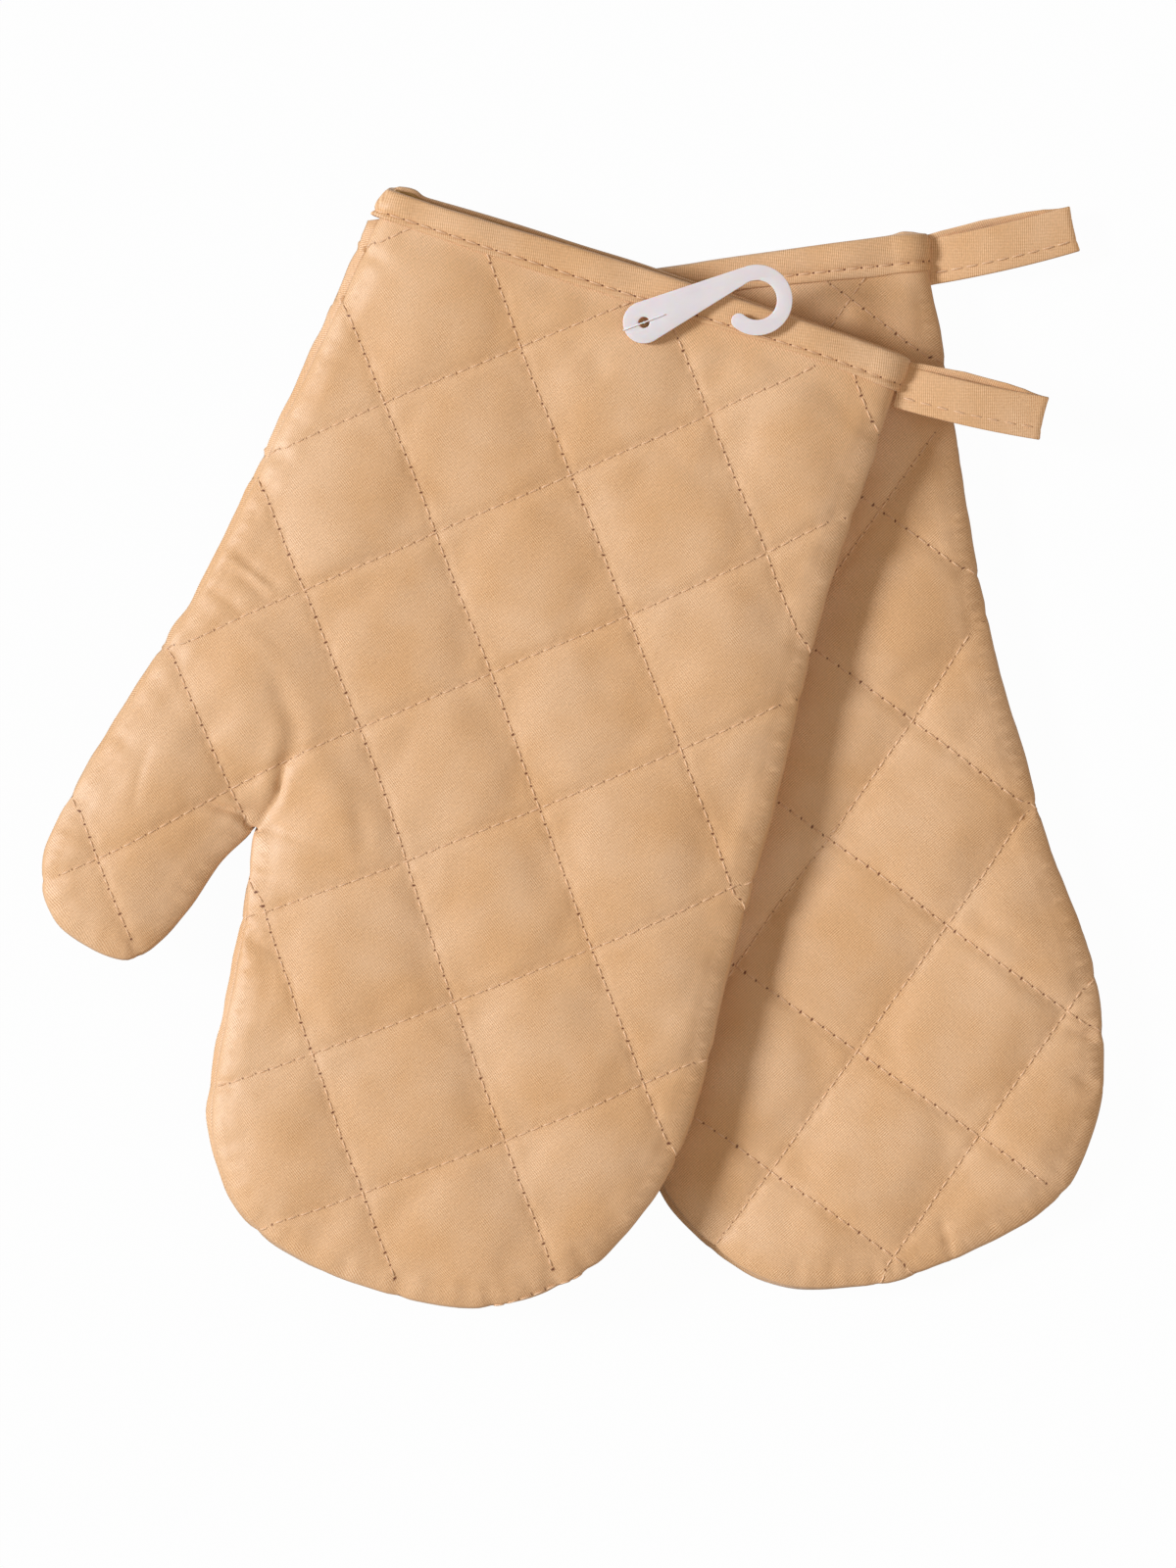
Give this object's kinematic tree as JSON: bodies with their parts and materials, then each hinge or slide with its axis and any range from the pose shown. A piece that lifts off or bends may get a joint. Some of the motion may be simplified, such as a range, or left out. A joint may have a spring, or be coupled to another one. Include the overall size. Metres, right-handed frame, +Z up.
{
  "type": "pair of oven mitts",
  "caption": "Square-quilted fabric oven mitts fanned over each other, with fold-over cuff bindings, hanging loops and a plastic hook on a tag pin.",
  "frame": {"origin": "centre of the pair's box, on the table it lies on", "axes": "+Y runs from the fingertips to the cuffs, +Z is up through the lower mitt and then the upper mitt"},
  "size_m": [0.2724, 0.2894, 0.0308],
  "materials": {
    "twill": "satin-faced cotton twill, softly shiny",
    "batting": "needled wadding, matt",
    "lining": "plain woven cotton, matt",
    "thread": "spun sewing thread",
    "hook_plastic": "translucent white, smooth",
    "clear_nylon": "clear, smooth"
  },
  "bodies": {
    "lower_mitt": {"lower_back_outer": "twill", "lower_back_batting": "batting", "lower_back_lining": "lining", "lower_palm_outer": "twill", "lower_palm_batting": "batting", "lower_palm_lining": "lining", "lower_back_quilting_thread": "thread", "lower_palm_quilting_thread": "thread", "lower_side_seam_thread": "thread", "lower_cuff_binding": "twill", "lower_binding_thread": "thread", "tag_pin": "clear_nylon"},
    "upper_mitt": {"upper_back_outer": "twill", "upper_back_batting": "batting", "upper_back_lining": "lining", "upper_palm_outer": "twill", "upper_palm_batting": "batting", "upper_palm_lining": "lining", "upper_back_quilting_thread": "thread", "upper_palm_quilting_thread": "thread", "upper_side_seam_thread": "thread", "upper_cuff_binding": "twill", "upper_binding_thread": "thread"},
    "hook": {"hook": "hook_plastic"},
    "lower_loop": {"lower_hanging_loop": "twill", "lower_loop_thread": "thread"},
    "upper_loop": {"upper_hanging_loop": "twill", "upper_loop_thread": "thread"}
  },
  "joints": [
    {"name": "mitt_swivel", "type": "hinge", "parent": "lower_mitt", "child": "upper_mitt", "pos_m": [0.01826, 0.10816, 0.0143], "axis": [0, 0, -1], "range_deg": [-17, 25]},
    {"name": "hook_swivel", "type": "hinge", "parent": "upper_mitt", "child": "hook", "pos_m": [0.01826, 0.10816, 0.0286], "axis": [0, 0, 1], "continuous": true},
    {"name": "lower_loop_hinge", "type": "hinge", "parent": "lower_mitt", "child": "lower_loop", "pos_m": [0.09607, 0.12537, 0.0055], "axis": [0.2261, -0.9741, 0], "range_deg": [0, 80]},
    {"name": "upper_loop_hinge", "type": "hinge", "parent": "upper_mitt", "child": "upper_loop", "pos_m": [0.08596, 0.08971, 0.0198], "axis": [-0.19, -0.9818, 0], "range_deg": [0, 80]}
  ]
}
